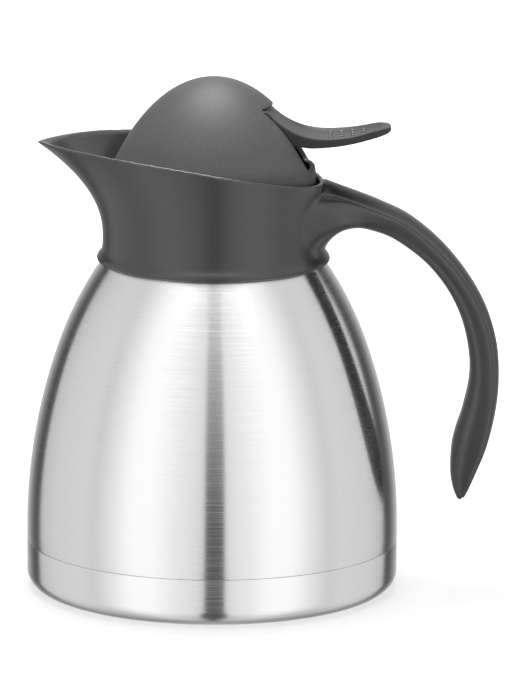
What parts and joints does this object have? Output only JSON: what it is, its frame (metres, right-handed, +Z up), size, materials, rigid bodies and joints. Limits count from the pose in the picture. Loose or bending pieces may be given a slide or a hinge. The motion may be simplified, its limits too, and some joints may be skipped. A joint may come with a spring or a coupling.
{
  "type": "thermal carafe with press-lever lid",
  "caption": "Vacuum-insulated steel serving carafe with a pouring collar, an open-ended handle and a screw-in domed lid whose hinged thumb lever opens the pour valve.",
  "frame": {"origin": "centre of the ring that the carafe stands on", "axes": "+Z up, +X towards the handle, -X towards the spout"},
  "size_m": [0.1906, 0.15, 0.2086],
  "materials": {
    "outer_shell": "fine circumferential brushing",
    "base_cup": "fine circumferential brushing",
    "vacuum_bottom": "fine circumferential brushing",
    "evacuation_seal": "dull braze",
    "getter_capsule": "plain",
    "flask_base": "fine circumferential brushing",
    "inner_flask": "fine circumferential brushing",
    "flask_shoulder": "fine circumferential brushing",
    "neck_gasket": "smooth silicone",
    "spout_collar": "satin, fine moulded grain",
    "handle": "satin, fine moulded grain",
    "handle_cover": "satin, fine moulded grain",
    "handle_screws": "plain",
    "stopper_seal": "smooth silicone",
    "stopper_cup": "plain moulded",
    "stopper_core": "plain moulded",
    "rod_seal": "smooth silicone",
    "dome_shell": "satin, fine moulded grain",
    "dome_floor": "plain moulded",
    "floor_screws": "plain",
    "lever_pin": "plain",
    "valve_spring": "plain",
    "thumb_lever": "satin, fine moulded grain",
    "valve_rod": "plain",
    "valve_disc": "plain moulded",
    "valve_seal": "smooth silicone",
    "valve_nut": "plain",
    "push_cap": "plain moulded"
  },
  "bodies": {
    "jug": {"outer_shell": "outer_shell", "base_cup": "base_cup", "vacuum_bottom": "vacuum_bottom", "evacuation_seal": "evacuation_seal", "getter_capsule": "getter_capsule", "flask_base": "flask_base", "inner_flask": "inner_flask", "flask_shoulder": "flask_shoulder", "neck_gasket": "neck_gasket", "spout_collar": "spout_collar", "handle": "handle", "handle_cover": "handle_cover", "handle_screws": "handle_screws"},
    "seal_ring": {"stopper_seal": "stopper_seal"},
    "lid": {"stopper_cup": "stopper_cup", "stopper_core": "stopper_core", "rod_seal": "rod_seal", "dome_shell": "dome_shell", "dome_floor": "dome_floor", "floor_screws": "floor_screws", "lever_pin": "lever_pin", "valve_spring": "valve_spring"},
    "lever": {"thumb_lever": "thumb_lever"},
    "pour_valve": {"valve_rod": "valve_rod", "valve_disc": "valve_disc", "valve_seal": "valve_seal", "valve_nut": "valve_nut", "push_cap": "push_cap"}
  },
  "joints": [
    {"name": "lid_rise", "type": "slide", "parent": "jug", "child": "seal_ring", "axis": [0, 0, 1], "range_m": [0, 0.072]},
    {"name": "lid_turn", "type": "hinge", "parent": "seal_ring", "child": "lid", "pos_m": [0, 0, 0], "axis": [0, 0, 1], "range_deg": [0, 1081]},
    {"name": "lever_press", "type": "hinge", "parent": "lid", "child": "lever", "pos_m": [-0.025, 0, 0.1822], "axis": [0, 1, 0], "range_deg": [0, 7], "stiffness_Nm_per_rad": 0.6, "springref_deg": -8.59, "deforming": ["valve_spring"]},
    {"name": "valve_lift", "type": "slide", "parent": "lid", "child": "pour_valve", "axis": [0, 0, -1], "range_m": [0, 0.0031], "stiffness_N_per_m": 2, "springref_m": -0.0694}
  ],
  "couplings": [
    {"joint": "lid_turn", "follows": "lid_rise", "rad_per_m": 261.8},
    {"joint": "valve_lift", "follows": "lever_press", "m_per_rad": 0.02536}
  ]
}
